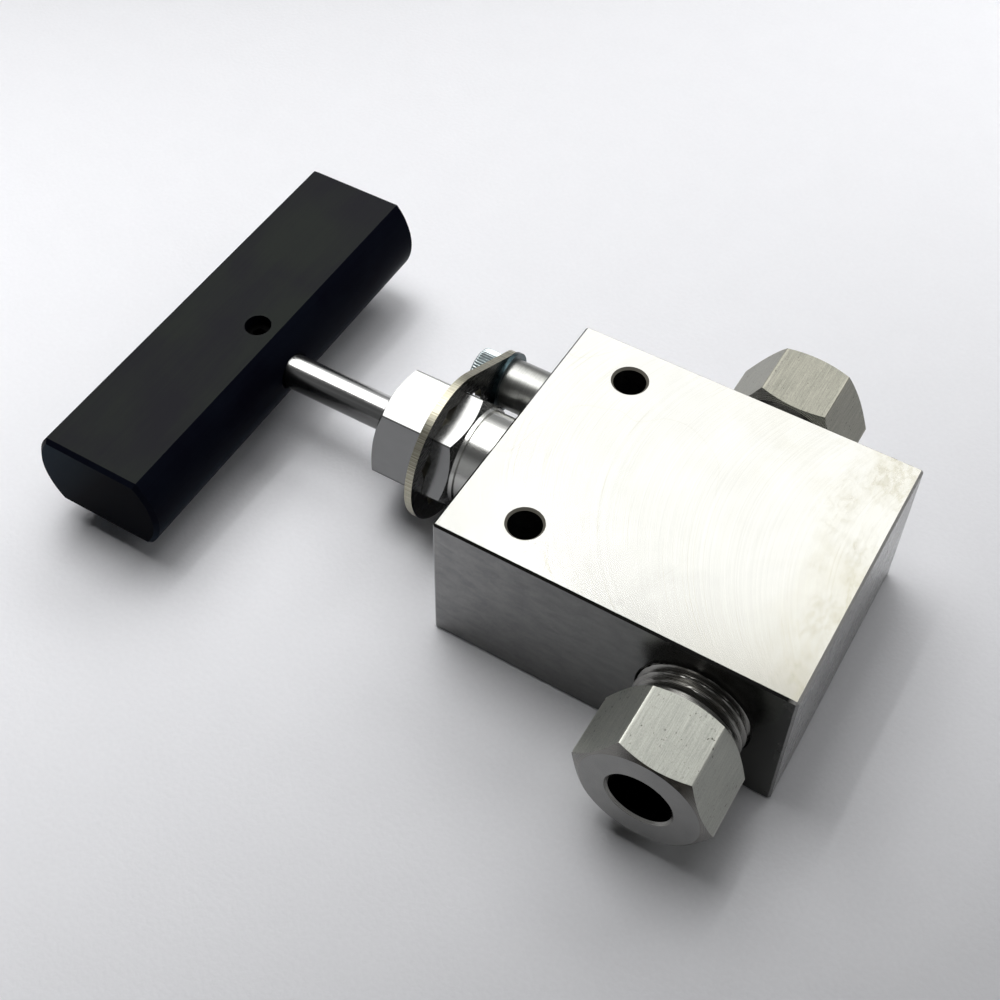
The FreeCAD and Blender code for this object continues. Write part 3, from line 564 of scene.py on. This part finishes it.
black_anodised, start, sockets = new_material("black_anodised")
place, x, y, z = object_place(start)
facing_x, facing_y, facing_z = object_facing(start)
drawing = cloud(place, 0.5, (1, 60, 1), 3.0)
sheen = cloud(place, 11.0, (1, 1.5, 1), 4.0, 0.6)
film = (0.25 * drawing + 0.75 * sheen).between(0.38, 0.62)
# painted reflection of the floor: the sides go navy towards the bottom
painted_floor_reflection = 1.0 - z.between(2.0, 13.0)
sides = (0.85 * painted_floor_reflection + 0.15 * film).mix(*side_black_to_painted_navy)
# painted reflection: the end faces go from pale navy at the outer top to black
ends = (x - 0.7 * (z - axis_height)).between(-124.0, -106.0).mix(*end_painted_reflection)
walls = facing_y.math("ABSOLUTE").between(0.85, 0.95).mix(sides, ends)
feed(sockets, base_color=facing_z.between(0.9, 0.98).mix(walls, film.mix(*milled)),
     roughness=0.28 + 0.10 * sheen, specular_ior_level=0.006, normal=relief(drawing, 0.002))
wear(["handle"], black_anodised)

black_oxide, start, sockets = new_material("black_oxide")
place, x, y, z = object_place(start)
oil = cloud(place, 0.7)
feed(sockets, base_color=oil.between(0.3, 0.7).mix(*oxide),
     roughness=0.5 + 0.2 * oil, specular_ior_level=0.02, normal=relief(oil, 0.004))
wear(["handle_set_screw"], black_oxide)


# The gland nuts: turned from drawn hexagon bar, with a thread of 16 to the inch below a short relief.
# The bar's skin is left on the flats, with its lines along the nut and small pits; the face is turned.

across_flats, corner_round, bore, face_circle = 20.64, 0.25, 5.3, 9.95
outlet_along = -10.4


def gland_nut(name, node, body, along, side, corner):
    """A nut whose axis points out of the block's side: u mm from the block's middle, angle a from +X.

    Thread: radius = crest - depth * g(u / pitch + side * a / turn), where g is 0 on the crest, 1 in the
    root and straight between them, and the radius never passes the bevel at the tail or at the relief.
    """
    pitch, crest, depth, groove = 1.5875, 9.495, 0.97, 8.5
    flank_start, flank_width, thread_rows = 0.12, 0.68, 124
    face, back, tail, mouth, lip, cup = 43.3, 30.2, 17.2, 5.75, 0.45, 1.2
    thread_end = back - pitch
    sixth = np.concatenate([np.radians([0.0, 0.16, 0.32, 0.48]), np.radians(np.arange(1, 32) * 1.875),
                            np.radians([59.52, 59.68, 59.84])])
    angles = (corner + sixth[None, :] + np.arange(6)[:, None] * math.pi / 3).ravel()
    flats = hexagon(angles, across_flats, corner, corner_round)
    fall = (flats - face_circle) * math.tan(math.pi / 6)
    rows = np.linspace(tail, thread_end, thread_rows)[:, None]
    phase = (rows / pitch + side * angles / (2 * math.pi)) % 1.0
    ridge = np.clip((np.abs(2 * phase - 1) - flank_start) / flank_width, 0, 1)
    tail_bevel = crest - pitch / 2 + (rows - tail)
    relief_bevel = groove + 1.4 * (thread_end - rows) + 0.02
    thread = np.minimum(crest - depth * ridge, np.minimum(tail_bevel, relief_bevel))
    before = [(tail + cup, bore), (tail, bore + cup)]
    after = [(thread_end, groove), (back, groove), (back, face_circle), (back + fall, flats),
             (face - fall, flats), (face, face_circle), (face, mouth), (face - lip, bore)]
    u = np.vstack([spread([place for place, radius in before], angles),
                   np.broadcast_to(rows, thread.shape),
                   spread([place for place, radius in after], angles)])
    r = np.vstack([spread([radius for place, radius in before], angles), thread,
                   spread([radius for place, radius in after], angles)])
    rings = np.stack([along + r * np.cos(angles), side * u, axis_height + r * np.sin(angles)], -1)
    nut = skin(name, rings if side < 0 else rings[:, ::-1])
    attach(nut, body)
    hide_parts(node)
    return nut


def drawn_steel(name, along, dark, light, dark_chamfer_reflection, pale_chamfer_reflection, left_painted_gain):
    """Drawn bar: lines and pits along the flats, turned end faces and chamfers, a cut thread.

    The skin goes from dark to light and is painted left_painted_gain times brighter, as painted light, on
    the flats that face -X.
    The chamfer is painted from dark_chamfer_reflection to pale_chamfer_reflection as a painted reflection,
    most of all where it faces up.
    """
    hexagon_corner = 11.8
    turned_face = (0.24, 0.24, 0.235, 1), (0.29, 0.29, 0.28, 1)
    thread_steel, pit = (0.27, 0.265, 0.25, 1), (0.05, 0.045, 0.035, 1)
    bore_painted_shade = (0.03, 0.03, 0.03, 1)

    material, start, sockets = new_material(name)
    place, x, y, z = object_place(start)
    facing_x, facing_y, facing_z = object_facing(start)
    facing_end = facing_y.math("ABSOLUTE")
    from_axis = distance(x - along, z - axis_height)
    flats = from_axis.between(face_circle - 0.05, face_circle + 0.15) * (1.0 - facing_end.between(0.2, 0.4))
    face = facing_end.between(0.9, 0.97)
    bevel = from_axis.between(face_circle - 0.05, face_circle + 0.01) * facing_end.between(0.4, 0.6)
    bevel = bevel * (1.0 - face)

    drawn = 0.5 * cloud(place, 0.08, (1, 40, 1), 2.0) + 0.3 * cloud(place, 0.25, (1, 30, 1), 2.0)
    streaks = 0.8 * drawn + 0.35 * cloud(place, 0.15, (1, 1.8, 1), 3.0) - 0.07
    pits = cloud(place, 0.35, (1, 2.0, 1), 3.0).between(0.64, 0.72) * cloud(place, 3.0).between(0.42, 0.6)
    # the skin is lighter along the rounded corners
    corner_lightening = 0.35 * from_axis.between(hexagon_corner - 0.15, hexagon_corner)
    bar_skin = (streaks.between(0.30, 0.70) + corner_lightening).mix(dark, light)
    brighter = place.node("VectorMath", {"operation": "SCALE"}, {0: bar_skin, "Scale": left_painted_gain})
    # painted light: the flats that face -X are painted left_painted_gain times brighter
    bar_skin = facing_x.between(-0.3, -0.7).mix(bar_skin, brighter)

    turned = lines(from_axis + 0.4 * y, 0.10)
    patches = cloud(place, 3.0)
    bare = (0.3 * turned + 0.7 * patches).between(0.3, 0.7).mix(*turned_face)
    # painted reflection on the chamfer, in patches of dark_chamfer_reflection to pale_chamfer_reflection,
    # strongest where it faces up and towards +X
    upper = facing_z.between(0.28, 0.42) * facing_x.between(-0.22, -0.02)
    cut = face.mix(thread_steel, bare)
    cut = (bevel * (0.2 + 0.8 * upper)).mix(cut, patches.between(0.4, 0.6).mix(dark_chamfer_reflection, pale_chamfer_reflection))
    # painted shade: the bore is painted nearly black inside the face
    cut = (1.0 - from_axis.between(bore, bore + 0.04)).mix(cut, bore_painted_shade)

    roughness = (flats * (0.27 + 0.10 * streaks + 0.3 * pits)
                 + (1.0 - flats) * (0.24 - 0.07 * face + 0.06 * turned))
    feed(sockets, base_color=(0.8 * pits * flats).mix(flats.mix(cut, bar_skin), pit), metallic=1.0,
         roughness=roughness,
         normal=relief(flats * (0.010 * streaks - 0.02 * pits) + face * turned * 0.0006))
    return material


# Painted light: the inlet nut's skin is painted lighter and the outlet nut's darker, and the chamfers carry
# a painted dark reflection on the inlet nut and a painted pale one on the outlet nut.
inlet_steel = drawn_steel("drawn_steel_inlet", 0.0, (0.28, 0.29, 0.26, 1), (0.50, 0.50, 0.45, 1),
                          (0.035, 0.033, 0.03, 1), (0.09, 0.082, 0.07, 1), 1.9)
outlet_steel = drawn_steel("drawn_steel_outlet", outlet_along, (0.16, 0.16, 0.135, 1),
                           (0.35, 0.34, 0.285, 1), (0.50, 0.50, 0.42, 1), (0.62, 0.62, 0.53, 1), 1.25)
inlet_nut = gland_nut("inlet_nut", "gland_nut_inlet", "inlet_nut", 0.0, -1, math.radians(53.4))
outlet_nut = gland_nut("outlet_nut", "gland_nut_outlet", "outlet_nut", outlet_along, 1,
                       math.radians(56.1))
inlet_nut.data.materials.append(inlet_steel)
outlet_nut.data.materials.append(outlet_steel)


# The collars: short turned rings behind the nuts, which a tube's end screws into.
# They are cut from the same bar as their nuts, and only the tube's bore shows them.

wear(["collar_inlet"], inlet_steel)
wear(["collar_outlet"], outlet_steel)
